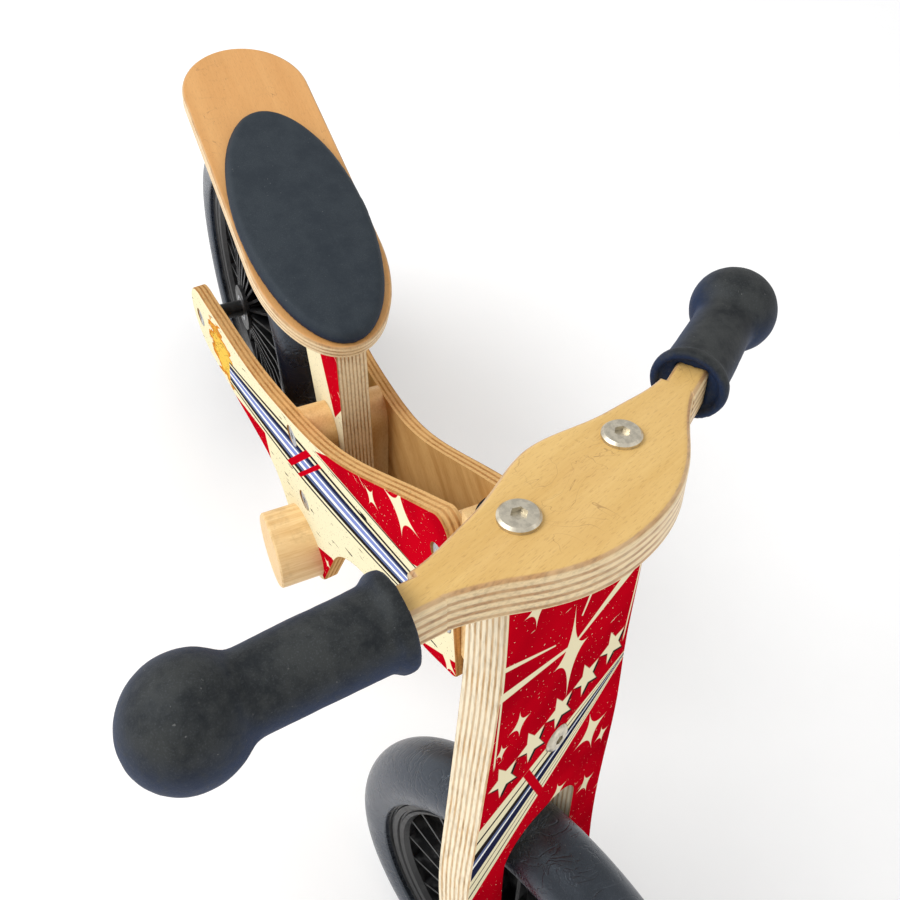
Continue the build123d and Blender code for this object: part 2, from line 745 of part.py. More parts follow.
def steering_pin():
    """Pin down through both ears and the head block."""
    low, high = ear_places()
    top = high + bracket_thickness
    head = along_z(pin_head_radius, top, top + pin_head_height)
    head = chamfer(head.edges().filter_by(GeomType.CIRCLE).sort_by(Axis.Z)[-1], 1.0)
    shank = along_z(pin_radius, low - pin_nut_height - pin_end, top)
    return steer_frame * (head + shank)


def steering_pin_nut():
    nut = hex_nut(pin_nut_across, pin_nut_height, pin_radius + run)
    return steer_frame * Pos(0, 0, ear_places()[0] - pin_nut_height) * nut


def front_axle():
    return steer_frame * axle_bolt(front_floor, fork_offset, axle_w)


def front_axle_nut():
    return steer_frame * sleeve_nut(front_floor, fork_offset, axle_w)


def front_spacers():
    """Short tubes from the front hub to the fork legs."""
    start = hub_half_width + bearing_proud + gap
    tube = along_y(spacer_radius, start, slot_half_width, fork_offset, axle_w)
    tube = tube - along_y(axle_radius + hole, 0.0, far, fork_offset, axle_w)
    return [steer_frame * tube, steer_frame * mirrored(tube)]


# ---- seat ----
def seat_outline(inset):
    """Long oval from above: round behind, long nose in front."""
    half = seat_half_width - inset
    nose = Pos(seat_nose_x, 0) * Ellipse(seat_nose - inset, half)
    middle = Pos((seat_nose_x + seat_rear_x) / 2, 0) * Rectangle(seat_nose_x - seat_rear_x, 2 * half)
    return nose + middle + Pos(seat_rear_x, 0) * Circle(half)


def seat_board():
    board = Pos(0, 0, seat_top - seat_thickness) * extrude(seat_outline(0.0), amount=seat_thickness)
    board = fillet(board.faces().sort_by(Axis.Z)[-1].edges(), seat_edge)
    for x in seat_screw_x:
        board = board - Pos(x, 0, seat_top) * screw_room(seat_screw_length)
    return board


def seat_pad():
    """Foam pad with a bevelled rim."""
    oval = Pos(pad_x, 0) * Ellipse(pad_half_length, pad_half_width)
    pad = Pos(0, 0, seat_top) * extrude(oval, amount=pad_thickness)
    return chamfer(pad.faces().sort_by(Axis.Z)[-1].edges(), pad_bevel)


def seat_post():
    """Plywood plate on edge, with a slot for the cross bolts and a flare under the seat."""
    half = post_depth / 2
    foot = -post_bolt_spacing - post_travel - post_foot
    under = seat_top - seat_thickness
    t = radians(post_tilt)
    rise = (under - post_bolt_z - half * sin(t)) / cos(t)
    front_top = post_point(half, rise)
    outline = Polyline(post_point(half, foot), front_top, (flare_x, under), post_point(-half, flare_start),
                       post_point(-half, foot), close=True)
    face = make_face(outline)
    knee = face.vertices().sort_by_distance((*post_point(-half, flare_start), 0))[0]
    face = fillet(knee, post_knee)
    toes = [face.vertices().sort_by_distance((*post_point(u, foot), 0))[0] for u in (-half, half)]
    face = fillet(toes, post_corner)
    post = plate_xz(face, -post_thickness / 2, post_thickness / 2)
    width = axle_radius + slide
    low = -post_bolt_spacing - post_travel
    slot = slab(-width, width, -far, far, low, 0.0)
    slot = slot + along_y(width, -far, far) + along_y(width, -far, far, 0.0, low)
    post = post - post_frame * slot
    for x in seat_screw_x:
        post = post - Pos(x, 0, seat_top) * screw_room(seat_screw_length)
    return post


def seat_screws():
    return [Pos(x, 0, seat_top) * wood_screw(seat_screw_length) for x in seat_screw_x]


# ---- every node ----
rear_place = Pos(rear_axle_x, 0, wheel_radius)
front_place = steer_frame * Pos(fork_offset, 0, axle_w)
right_peg = foot_peg_right()
one_tyre = tyre()
one_rim = wheel_rim()
one_disc = wheel_disc()

nodes = {
    "right_side_panel": side_panel(-1),
    "left_side_panel": side_panel(1),
    "head_block": head_block(),
    "steering_bushes": steering_bushes(),
    "right_post_block": post_block(-1),
    "left_post_block": post_block(1),
    "cross_bolts": cross_bolts(),
    "cross_bolt_nuts": cross_bolt_nuts(),
    "head_bolts": head_bolts(),
    "head_bolt_nuts": head_bolt_nuts(),
    "right_foot_peg": right_peg,
    "left_foot_peg": mirrored(right_peg),
    "foot_peg_screws": foot_peg_screws(),
    "rear_axle": rear_axle(),
    "rear_axle_nut": rear_axle_nut(),
    "rear_spacers": rear_spacers(),
    "rear_tyre": rear_place * one_tyre,
    "rear_wheel_rim": rear_place * one_rim,
    "rear_wheel_disc": rear_place * one_disc,
    "rear_bearings": [rear_place * ring for ring in wheel_bearings()],
    "rear_hub_sleeve": rear_place * wheel_sleeve(),
    "front_tyre": front_place * one_tyre,
    "front_wheel_rim": front_place * one_rim,
    "front_wheel_disc": front_place * one_disc,
    "front_bearings": [front_place * ring for ring in wheel_bearings()],
    "front_hub_sleeve": front_place * wheel_sleeve(),
    "front_axle": front_axle(),
    "front_axle_nut": front_axle_nut(),
    "front_spacers": front_spacers(),
    "fork_board": fork_board(),
    "handlebar_board": handlebar_board(),
    "handlebar_bolts": handlebar_bolts(),
    "handlebar_barrel_nuts": handlebar_barrel_nuts(),
    "right_grip": grip(-1),
    "left_grip": grip(1),
    "steering_bracket": steering_bracket(),
    "bracket_bolt": bracket_bolt(),
    "bracket_nut": bracket_nut(),
    "bracket_screws": bracket_screws(),
    "steering_pin": steering_pin(),
    "steering_pin_nut": steering_pin_nut(),
    "seat_board": seat_board(),
    "seat_pad": seat_pad(),
    "seat_post": seat_post(),
    "seat_screws": seat_screws(),
}

os.makedirs("parts", exist_ok=True)
for name, shape in nodes.items():
    solids = shape if isinstance(shape, list) else [shape]
    export_step(Compound(children=[s for part in solids for s in part.solids()]), f"parts/{name}.step")
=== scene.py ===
import math

import bpy
from mathutils import Matrix, Quaternion, Vector, noise


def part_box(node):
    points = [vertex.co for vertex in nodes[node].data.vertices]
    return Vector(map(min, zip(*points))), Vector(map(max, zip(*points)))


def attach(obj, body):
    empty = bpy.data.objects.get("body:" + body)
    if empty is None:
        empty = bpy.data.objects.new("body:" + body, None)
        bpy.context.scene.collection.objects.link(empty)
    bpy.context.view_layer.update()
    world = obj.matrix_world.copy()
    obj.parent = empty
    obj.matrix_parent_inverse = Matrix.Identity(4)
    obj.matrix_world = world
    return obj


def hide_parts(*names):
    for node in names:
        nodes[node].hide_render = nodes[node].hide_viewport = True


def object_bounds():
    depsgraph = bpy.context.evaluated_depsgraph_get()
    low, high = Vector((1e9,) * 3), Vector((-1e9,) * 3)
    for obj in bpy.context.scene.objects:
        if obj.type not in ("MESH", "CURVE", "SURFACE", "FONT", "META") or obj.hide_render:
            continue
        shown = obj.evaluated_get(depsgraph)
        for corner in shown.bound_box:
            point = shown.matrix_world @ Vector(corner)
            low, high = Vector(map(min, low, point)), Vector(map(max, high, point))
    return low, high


# Looks of the balance bike. Metres, in the CAD model's frame; shader patterns count in millimetres.
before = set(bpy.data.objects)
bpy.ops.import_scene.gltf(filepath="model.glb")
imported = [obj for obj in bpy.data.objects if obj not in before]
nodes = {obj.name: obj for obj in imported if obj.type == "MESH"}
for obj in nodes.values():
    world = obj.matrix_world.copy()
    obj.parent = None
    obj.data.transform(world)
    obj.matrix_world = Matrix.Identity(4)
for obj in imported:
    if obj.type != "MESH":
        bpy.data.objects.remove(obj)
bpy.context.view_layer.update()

MM = 0.001

# ---- places that the patterns follow ----
RAKE = math.radians(23.4)          # steering axis, leaning back
REST_TURN = math.radians(21.0)     # how far the steering stands to the left
HEAD = Vector((119.4, 0.0, 400.0)) * MM
REAR_AXLE_X = -257.0               # millimetres, as are the sizes below
REAR_HALF_WIDTH = 57.3             # over the side panels, at the rear axle
FRONT_HALF_WIDTH = 17.4            # over the side panels, at the head point
BAR_TOP = 109.5                    # top of the handlebar board, along the steering axis
FORK_HALF_THICKNESS = 10.5
FORK_LENGTH = 420.0
FORK_LOW = -325.0
# height and middle of the curved fork board, down the steering axis
FORK_MIDDLE = [(91.5, 32.0), (17.0, 31.0), (-38.0, 28.5), (-90.0, 27.0), (-150.0, 24.0),
               (-203.0, 23.5), (-253.0, 26.0), (-294.0, 30.4), (-318.0, 33.0)]
CURVE_REACH = 100.0                # distance that the middle's curve counts as 1
SEAT_TOP = 344.5
POST_HALF_THICKNESS = 10.0

head_matrix = Matrix.Translation(HEAD) @ Matrix.Rotation(-RAKE, 4, "Y")
steer_matrix = head_matrix @ Matrix.Rotation(REST_TURN, 4, "Z")


def tone(red, green, blue):
    """A screen colour, 0 to 255, as linear light."""
    channels = []
    for value in (red, green, blue):
        share = value / 255
        channels.append(share / 12.92 if share <= 0.04045 else ((share + 0.055) / 1.055) ** 2.4)
    return (*channels, 1.0)


def deeper(colour, share):
    """The same colour, darker."""
    return tuple(channel * share for channel in colour[:3]) + (1.0,)


CREAM = tone(234, 224, 188)
RED = tone(190, 4, 26)
DEEP_RED = tone(164, 2, 22)
NAVY = tone(34, 38, 66)
PERIWINKLE = tone(126, 140, 198)
STEEL = tone(92, 104, 140)
WHITE = tone(240, 240, 236)
INK = tone(38, 34, 34)
FLAME = tone(232, 190, 84)
FLAME_DEEP = tone(206, 132, 48)

# ---- print on the side panels, over X and Z ----
PANEL_SLANT = math.radians(36)     # lie of the dark strokes and of the flame
PANEL_RED = [
    [(-40, 286), (72, 362), (112, 420), (95, 480)],          # behind the head
    [(98, 303), (140, 318), (140, 372), (124, 346)],         # lower front strip
    [(-36, 142), (20, 110), (20, 200), (-2, 186)],           # front of the lobe
    [(-200, 118), (-150, 112), (-104, 138), (-120, 170)],    # under the stripes, behind
    [(-176, 172), (-160, 160), (-118, 186), (-128, 196)],    # over the stripes, behind
]
BUNDLE_X = -60.0                   # widest place of the bundle of stripes
BUNDLE_Z = 236.0
BUNDLE_SLOPE = 0.70                # how it rises towards the head
BUNDLE_BEND = 0.0004               # how that grows steeper
BUNDLE_SQUARE = 0.81               # height above the bundle's middle, as a distance across it
BUNDLE_HALF = 20.0                 # half width at the widest place
BUNDLE_TAPER = 0.007               # how it narrows towards both ends
BUNDLE_TAPER_POWER = 1.4
BUNDLE_LEAST = 3.0                 # least half width
BUNDLE_REAR = -192.0               # ends of the bundle
BUNDLE_FRONT = 78.0
PANEL_STRIPES = [(0.0, INK), (0.06, CREAM), (0.14, INK), (0.26, STEEL), (0.36, WHITE), (0.46, PERIWINKLE),
                 (0.60, WHITE), (0.66, STEEL), (0.72, NAVY), (0.84, CREAM), (0.92, INK)]
BAND_LEAN = -0.7                   # lean of the red bands across the bundle
PANEL_BANDS = [(-66.0, 8.0), (-48.0, 5.0)]   # their starts and widths
PANEL_LINES = [8.0, 14.0]          # thin lines beside the bundle, from its edge
FLAME_CENTRE = (-206.0, 156.0, 0.0)
FLAME_REACH = 46.0
FLAME_CORE = 38.0                  # where its paler middle ends
FLAME_UNEVEN = 34.0                # how far its edge wanders
# centre, half width, half height and turn of each four-pointed star
PANEL_STARS = [((52, 388), 21, 21, 20), ((26, 352), 10, 10, 0), ((121, 334), 11, 11, 10),
               ((-6, 164), 7, 7, 0), ((3, 146), 5, 5, 30)]
POST_RED = [(-172, 352), (-68, 268), (-40, 352)]

# ---- print on the fork, across it and along the steering axis ----
FORK_RAYS = [
    [(-60, 24), (0, 12), (0, 14), (-60, 31)],
    [(0, 11), (60, 34), (60, 46), (0, 13)],
    [(-60, 48), (-14, 26), (-14, 27), (-60, 52)],
    [(4, 30), (34, 100), (28, 100), (3, 31)],
]
FORK_STARS = [((0, 6), 13, 40, 4), ((-30, 66), 9, 13, 0), ((30, 82), 7, 10, 0), ((-33, -12), 8, 12, 5),
              ((-44, -22), 5, 8, 5), ((34, -98), 15, 24, 12), ((48, -118), 7, 11, 12),
              ((12, -132), 8, 12, 12), ((42, -164), 9, 14, 12)]
FAN_V = 62.0                       # narrow end of the fan of stripes
FAN_W = -42.0
FAN_START = 0.30                   # slope of the fan's upper edge
FAN_SPREAD = 0.66                  # from there to its lower edge
FAN_STRIPES = [(0.0, CREAM), (0.12, INK), (0.15, CREAM), (0.26, INK), (0.35, STEEL), (0.40, WHITE),
               (0.44, NAVY), (0.60, CREAM), (0.68, INK), (0.70, CREAM), (0.82, INK), (0.85, CREAM),
               (0.95, RED)]
FAN_BAND = (92.0, 97.0)            # red band across the fan
STAR_ROW = {"angle": 17.0, "count": 5, "pitch": 20.5, "reach": 10.2, "tall": 1.5}
STAR_ROW_START = (-40.0, -50.0)
STAR_ROW_SHADOW = (-38.4, -52.5)
FORK_BORDER = (47.6, 48.8)         # thin line near the fork's sides


class Shade:
    """One material, built by short calls; a value is a socket or a number."""

    def __init__(self, name, **fixed):
        self.material = bpy.data.materials.new(name)
        self.material.use_nodes = True
        self.tree = self.material.node_tree
        self.shader = next(n for n in self.tree.nodes if n.type == "BSDF_PRINCIPLED")
        for socket, value in fixed.items():
            self.shader.inputs[socket.replace("_", " ")].default_value = value
        coordinates = self.tree.nodes.new("ShaderNodeTexCoord")
        self.at = coordinates.outputs["Object"]
        self.normal = coordinates.outputs["Normal"]
        self.mm = self.scaled(self.at, (1000.0, 1000.0, 1000.0))

    def feed(self, socket, value):
        """Links a socket to an input, or sets the input to a constant."""
        if isinstance(value, bpy.types.NodeSocket):
            self.tree.links.new(value, socket)
        else:
            socket.default_value = value

    def add(self, kind, inputs, **settings):
        """A new node; its inputs go by name or by number."""
        node = self.tree.nodes.new("ShaderNode" + kind)
        for key, value in settings.items():
            setattr(node, key, value)
        for key, value in inputs.items():
            self.feed(node.inputs[key], value)
        return node

    def calc(self, operation, *values):
        return self.add("Math", dict(enumerate(values)), operation=operation).outputs[0]

    def plus(self, first, second):
        return self.calc("ADD", first, second)

    def minus(self, first, second):
        return self.calc("SUBTRACT", first, second)

    def times(self, first, second):
        return self.calc("MULTIPLY", first, second)

    def inverse(self, value):
        return self.calc("SUBTRACT", 1.0, value)

    def size(self, value):
        return self.calc("ABSOLUTE", value)

    def off_middle(self, value):
        """How far a value lies from one half."""
        return self.size(self.minus(value, 0.5))

    def scaled(self, at, factors):
        return self.add("VectorMath", {0: at, 1: factors}, operation="MULTIPLY").outputs["Vector"]

    def drawn_out(self, at, axis, share):
        """A place whose patterns come out longer along one axis."""
        factors = [1.0, 1.0, 1.0]
        factors[axis] = share
        return self.scaled(at, tuple(factors))

    def dot(self, at, direction):
        return self.add("VectorMath", {0: at, 1: direction}, operation="DOT_PRODUCT").outputs["Value"]

    def parts(self, at):
        return self.add("SeparateXYZ", {0: at}).outputs

    def joined(self, x, y):
        return self.add("CombineXYZ", {0: x, 1: y}).outputs[0]

    def local(self, matrix):
        """Millimetres in the frame of a matrix."""
        inputs = {"Vector": self.at, "Location": matrix.translation, "Rotation": matrix.to_euler("XYZ"),
                  "Scale": (MM, MM, MM)}
        return self.add("Mapping", inputs, vector_type="TEXTURE").outputs[0]

    def blend(self, factor, low, high):
        """Between two colours, which are a Mix node's inputs 6 and 7."""
        return self.add("Mix", {0: factor, 6: low, 7: high}, data_type="RGBA").outputs[2]

    def level(self, factor, low, high):
        """Between two numbers, which are a Mix node's inputs 2 and 3."""
        return self.add("Mix", {0: factor, 2: low, 3: high}, data_type="FLOAT").outputs[0]

    def over(self, value, edge, soft):
        """0 below an edge, 1 above it."""
        inputs = {"Value": value, "From Min": edge - soft, "From Max": edge + soft}
        return self.add("MapRange", inputs, interpolation_type="SMOOTHSTEP").outputs[0]

    def under(self, value, edge, soft):
        """1 below an edge, 0 above it."""
        return self.inverse(self.over(value, edge, soft))

    def between(self, value, low, high, soft):
        """1 between two edges."""
        return self.times(self.over(value, low, soft), self.under(value, high, soft))

    def noise(self, at, scale, detail=3.0, rough=0.55, distortion=0.0):
        inputs = {"Vector": at, "Scale": scale, "Detail": detail, "Roughness": rough,
                  "Distortion": distortion}
        return self.add("TexNoise", inputs).outputs[0]

    def ramp(self, value, stops, hard=False):
        """Colours along a value, with sharp or soft steps between them."""
        node = self.add("ValToRGB", {0: value})
        band = node.color_ramp
        band.interpolation = "CONSTANT" if hard else "LINEAR"
        while len(band.elements) < len(stops):
            band.elements.new(0.5)
        for element, (place, _) in zip(band.elements, stops):
            element.position = place
        for element, (_, colour) in zip(band.elements, stops):
            element.color = colour
        return node.outputs[0]

    def area(self, at, points, soft=0.25):
        """1 inside a convex outline, given anticlockwise over the first two axes."""
        inside = None
        for (x0, y0), (x1, y1) in zip(points, points[1:] + points[:1]):
            length = math.hypot(x1 - x0, y1 - y0)
            inward = ((y0 - y1) / length, (x1 - x0) / length, 0.0)
            reach = self.minus(self.dot(at, inward), inward[0] * x0 + inward[1] * y0)
            inside = reach if inside is None else self.calc("MINIMUM", inside, reach)
        return self.over(inside, 0.0, soft)

    def sparkle(self, at, centre, wide, high, turn=0.0):
        """A four-pointed star."""
        inputs = {"Vector": at, "Location": (*centre, 0.0), "Rotation": (0.0, 0.0, math.radians(turn)),
                  "Scale": (wide, high, 1.0)}
        x, y, _ = self.parts(self.add("Mapping", inputs, vector_type="TEXTURE").outputs[0])
        arms = [self.calc("POWER", self.size(side), 0.5) for side in (x, y)]
        return self.under(self.plus(*arms), 1.0, 0.4 / max(wide, high))

    def star_row(self, at, start, angle, count, pitch, reach, tall):
        """A row of equal five-pointed stars along a line."""
        inputs = {"Vector": at, "Location": (*start, 0.0), "Rotation": (0.0, 0.0, math.radians(angle)),
                  "Scale": (1.0, tall, 1.0)}
        x, y, _ = self.parts(self.add("Mapping", inputs, vector_type="TEXTURE").outputs[0])
        in_row = self.between(x, -pitch / 2, (count - 0.5) * pitch, 0.1)
        x = self.calc("WRAP", x, pitch / 2, -pitch / 2)
        turn = self.calc("ARCTAN2", x, y)
        tenth = math.pi / 5
        folded = self.size(self.calc("WRAP", turn, tenth, -tenth))
        away = self.calc("SQRT", self.plus(self.times(x, x), self.times(y, y)))
        along = self.times(away, self.calc("COSINE", folded))
        across = self.times(away, self.calc("SINE", folded))
        inner = 0.45 * reach
        side = Vector((inner * math.cos(tenth) - reach, inner * math.sin(tenth))).normalized()
        outward = self.plus(self.times(along, side.y), self.times(across, -side.x))
        return self.times(in_row, self.under(outward, reach * side.y, 0.3))

    def finish(self, colour, rough=None, height=None, bump=0.3, reach=0.0002):
        """Links what varies to the shader; height is 0 to 1, and reach is its real depth."""
        self.feed(self.shader.inputs["Base Color"], colour)
        if rough is not None:
            self.feed(self.shader.inputs["Roughness"], rough)
        if height is not None:
            node = self.add("Bump", {"Strength": bump, "Distance": reach, "Height": height})
            self.feed(self.shader.inputs["Normal"], node.outputs[0])
        return self.material


# ---- wood ----
def veneer(shade, at, grain, light, dark):
    """Face of a birch veneer, with its grain along one axis: a colour and a fine height."""
    along = shade.drawn_out(at, grain, 0.06)
    broad = shade.noise(along, 0.05, 2.0, 0.5, 0.6)
    fibre = shade.noise(along, 0.9, 4.0, 0.65)
    pores = shade.noise(shade.drawn_out(at, grain, 0.12), 2.2, 2.0)
    mixed = shade.plus(shade.times(broad, 0.9), shade.times(fibre, 0.55))
    colour = shade.ramp(mixed, [(0.45, light), (0.95, dark)])
    fleck = shade.over(pores, 0.62, 0.05)
    colour = shade.blend(shade.times(fleck, 0.28), colour, tone(150, 104, 52))
    return colour, shade.minus(fibre, shade.times(fleck, 0.5))


def ply_edge(shade, at, depth, layer, light, dark, along):
    """Layers seen on a board's edge, light along the grain and brown across it."""
    wobble = shade.noise(at, 0.08, 2.0)
    fine = shade.noise(shade.drawn_out(at, along, 0.12), 0.9, 3.0, 0.6)
    patchy = shade.noise(at, 0.05, 3.0, 0.6)
    shifted = shade.plus(depth, shade.times(wobble, 0.5))
    wave = shade.calc("SINE", shade.times(shifted, math.pi / layer))
    crossed = shade.over(wave, 0.35, 0.35)
    glue = shade.under(shade.size(wave), 0.16, 0.12)
    fibres = shade.blend(shade.over(fine, 0.55, 0.16), light, deeper(light, 0.72))
    ends = shade.blend(shade.over(fine, 0.56, 0.2), dark, deeper(dark, 0.6))
    colour = shade.blend(crossed, fibres, ends)
    colour = shade.blend(shade.times(glue, 0.25), colour, deeper(dark, 0.5))
    colour = shade.blend(shade.times(shade.over(patchy, 0.5, 0.1), 0.3), colour, light)
    return colour, shade.minus(fine, shade.times(crossed, 0.5))


def hair_cracks(shade, at, scale):
    """Thin wandering lines in a few places."""
    line = shade.under(shade.off_middle(shade.noise(at, scale, 3.0, 0.6, 0.8)), 0.002, 0.002)
    where = shade.over(shade.noise(at, scale * 0.6, 1.0), 0.56, 0.05)
    return shade.times(line, where)


def board_material(name, matrix, face, layer, grain, light, dark):
    """Bare plywood board that lies across Z: veneer on its two faces, layers on its edges."""
    shade = Shade(name, Coat_Weight=0.12, Coat_Roughness=0.3, Specular_IOR_Level=0.4)
    at = shade.local(matrix)
    depth = shade.minus(face, shade.parts(at)[2])
    facing = shade.size(shade.dot(shade.normal, tuple(matrix.to_3x3().col[2])))
    plain, plain_height = veneer(shade, at, grain, light, dark)
    edge, edge_height = ply_edge(shade, at, depth, layer, tone(238, 212, 166), tone(190, 146, 98), grain)
    on_edge = shade.under(facing, 0.9, 0.06)
    colour = shade.blend(on_edge, plain, edge)
    scar = shade.times(hair_cracks(shade, at, 0.035), shade.inverse(on_edge))
    colour = shade.blend(shade.times(scar, 0.6), colour, tone(132, 94, 54))
    wear = shade.over(shade.noise(at, 0.02, 3.0), 0.55, 0.12)
    colour = shade.blend(shade.times(wear, 0.16), colour, tone(196, 150, 92))
    height = shade.minus(shade.level(on_edge, plain_height, edge_height), scar)
    return shade.finish(colour, shade.calc("MULTIPLY_ADD", wear, 0.12, 0.42), height, 0.28)


def solid_wood(name, grain_axis, light, dark):
    """Turned or sawn solid wood, with growth rings on its ends."""
    shade = Shade(name, Specular_IOR_Level=0.35)
    at = shade.drawn_out(shade.mm, grain_axis, 0.05)
    bent = shade.noise(at, 0.03, 2.0)
    x, _, z = shade.parts(at)
    rings = shade.plus(shade.times(x, 0.55), z)
    rings = shade.calc("SINE", shade.plus(shade.times(rings, 0.9), shade.times(bent, 9.0)))
    fibre = shade.noise(at, 1.1, 4.0, 0.65)
    mixed = shade.plus(shade.times(rings, 0.12), fibre)
    colour = shade.ramp(mixed, [(0.3, light), (0.75, dark)])
    spots = shade.over(shade.noise(shade.mm, 0.05, 4.0, 0.7), 0.6, 0.08)
    colour = shade.blend(shade.times(spots, 0.22), colour, tone(150, 112, 66))
    return shade.finish(colour, shade.calc("MULTIPLY_ADD", fibre, 0.2, 0.4), mixed, 0.25)


# ---- print ----
def print_dust(shade, plane, speck_edge, stroke_edge):
    """Worn print: specks and short strokes, more of them as the edges come down."""
    specks = shade.over(shade.noise(plane, 0.55, 3.0, 0.6), speck_edge, 0.02)
    strokes = shade.noise(shade.scaled(plane, (0.12, 1.0, 1.0)), 0.35, 2.0)
    return shade.calc("MAXIMUM", specks, shade.over(strokes, stroke_edge, 0.015))


def cream_ground(shade, plane):
    """Cream print with dark specks."""
    return shade.blend(print_dust(shade, plane, 0.66, 0.68), CREAM, INK)


def red_ground(shade, plane, patch_edge):
    """Red print with deeper patches and light specks."""
    light_marks = print_dust(shade, plane, 0.69, 0.72)
    red = shade.blend(shade.over(shade.noise(plane, 0.02, 2.0), patch_edge, 0.2), RED, DEEP_RED)
    return shade.blend(light_marks, red, CREAM)


def sparkles(shade, plane, colour, stars):
    """Cream four-pointed stars over a print; each has a centre, half sizes and a turn in degrees."""
    for centre, wide, high, turn in stars:
        colour = shade.blend(shade.sparkle(plane, centre, wide, high, turn), colour, CREAM)
    return colour


def panel_stripes(shade, x, z, colour, fields):
    """A bundle of stripes that follows a gentle curve from the flame to the head."""
    ahead = shade.minus(x, BUNDLE_X)
    bend = shade.times(shade.calc("POWER", ahead, 2.0), BUNDLE_BEND)
    rise = shade.plus(shade.times(ahead, BUNDLE_SLOPE), bend)
    off = shade.times(shade.minus(shade.minus(z, BUNDLE_Z), rise), BUNDLE_SQUARE)
    taper = shade.times(shade.calc("POWER", shade.size(ahead), BUNDLE_TAPER_POWER), BUNDLE_TAPER)
    half = shade.calc("MAXIMUM", shade.minus(BUNDLE_HALF, taper), BUNDLE_LEAST)
    share = shade.plus(shade.calc("DIVIDE", off, shade.times(half, 2.0)), 0.5)
    within = shade.under(shade.off_middle(share), 0.5, 0.01)
    within = shade.times(within, shade.between(x, BUNDLE_REAR, BUNDLE_FRONT, 0.5))
    colour = shade.blend(within, colour, shade.ramp(share, PANEL_STRIPES, hard=True))
    along = shade.plus(x, shade.times(off, BAND_LEAN))
    for start, width in PANEL_BANDS:
        band = shade.between(along, start, start + width, 0.3)
        colour = shade.blend(shade.times(band, within), colour, RED)
    for gap in PANEL_LINES:
        line = shade.under(shade.size(shade.minus(off, shade.plus(half, gap))), 0.7, 0.25)
        line = shade.times(line, shade.over(x, -30.0, 20.0))
        colour = shade.blend(shade.times(line, shade.inverse(fields)), colour, INK)
    return colour, within


def flame(shade, plane, turned, colour, within):
    """Licks of flame around the rear end of the stripes."""
    away = shade.add("VectorMath", {0: plane, 1: FLAME_CENTRE}, operation="DISTANCE").outputs["Value"]
    licks = shade.noise(shade.scaled(turned, (0.4, 1.0, 1.0)), 0.16, 2.0)
    licks = shade.calc("MULTIPLY_ADD", licks, FLAME_UNEVEN, away)
    core = shade.blend(shade.over(licks, FLAME_CORE, 4.0), FLAME, FLAME_DEEP)
    tongues = shade.off_middle(shade.noise(shade.scaled(turned, (0.3, 1.0, 1.0)), 0.2, 2.0))
    core = shade.blend(shade.times(shade.under(tongues, 0.008, 0.004), 0.8), core, INK)
    shape = shade.times(shade.under(licks, FLAME_REACH, 0.6), shade.inverse(within))
    return shade.blend(shape, colour, core)


def panel_print(shade):
    """Outer faces of the side panels, over X and Z: stripes, stars and red fields on cream."""
    x, _, z = shade.parts(shade.mm)
    plane = shade.joined(x, z)
    lie = {"Vector": plane, "Angle": -PANEL_SLANT}
    turned = shade.add("VectorRotate", lie, rotation_type="Z_AXIS").outputs[0]
    colour = cream_ground(shade, turned)
    fields = shade.area(plane, PANEL_RED[0])
    for points in PANEL_RED[1:]:
        fields = shade.calc("MAXIMUM", fields, shade.area(plane, points))
    colour = shade.blend(fields, colour, red_ground(shade, plane, 0.55))
    colour, within = panel_stripes(shade, x, z, colour, fields)
    colour = flame(shade, plane, turned, colour, within)
    return sparkles(shade, plane, colour, PANEL_STARS)


def fork_fan(shade, v, w, colour):
    """A fan of stripes, measured as a slope from its narrow end, with one red band."""
    ahead = shade.minus(FAN_V, v)
    drop = shade.minus(FAN_W, w)
    slope = shade.calc("DIVIDE", drop, ahead)
    share = shade.calc("DIVIDE", shade.minus(slope, FAN_START), FAN_SPREAD)
    within = shade.under(shade.off_middle(share), 0.5, 0.006)
    within = shade.times(within, shade.over(ahead, 6.0, 0.4))
    colour = shade.blend(within, colour, shade.ramp(share, FAN_STRIPES, hard=True))
    along = shade.plus(ahead, shade.times(drop, 0.4))
    return shade.blend(shade.times(shade.between(along, *FAN_BAND, 0.3), within), colour, RED)


def fork_print(shade, at):
    """Front of the fork board, over v and w: rays, stars and a fan of stripes on red."""
    _, v, w = shade.parts(at)
    plane = shade.joined(v, w)
    colour = red_ground(shade, plane, 0.52)
    for points in FORK_RAYS:
        colour = shade.blend(shade.area(plane, points), colour, CREAM)
    colour = sparkles(shade, plane, colour, FORK_STARS)
    colour = fork_fan(shade, v, w, colour)
    for start, paint in ((STAR_ROW_SHADOW, INK), (STAR_ROW_START, CREAM)):
        colour = shade.blend(shade.star_row(plane, start, **STAR_ROW), colour, paint)
    border = shade.between(shade.size(v), *FORK_BORDER, 0.2)
    border = shade.times(border, shade.over(w, -30.0, 3.0))
    return shade.blend(border, colour, CREAM)


def printed(shade, printing, bare, mask, height, rough_bare):
    """Print over wood, worn through in a few small places."""
    worn = shade.over(shade.noise(shade.mm, 0.16, 5.0, 0.7), 0.735, 0.015)
    mask = shade.times(mask, shade.inverse(worn))
    colour = shade.blend(mask, bare, printing)
    smudge = shade.noise(shade.mm, 0.03, 4.0, 0.6)
    rough = shade.level(mask, rough_bare, shade.calc("MULTIPLY_ADD", smudge, 0.25, 0.3))
    return shade.finish(colour, rough, shade.times(height, shade.inverse(mask)), 0.3)


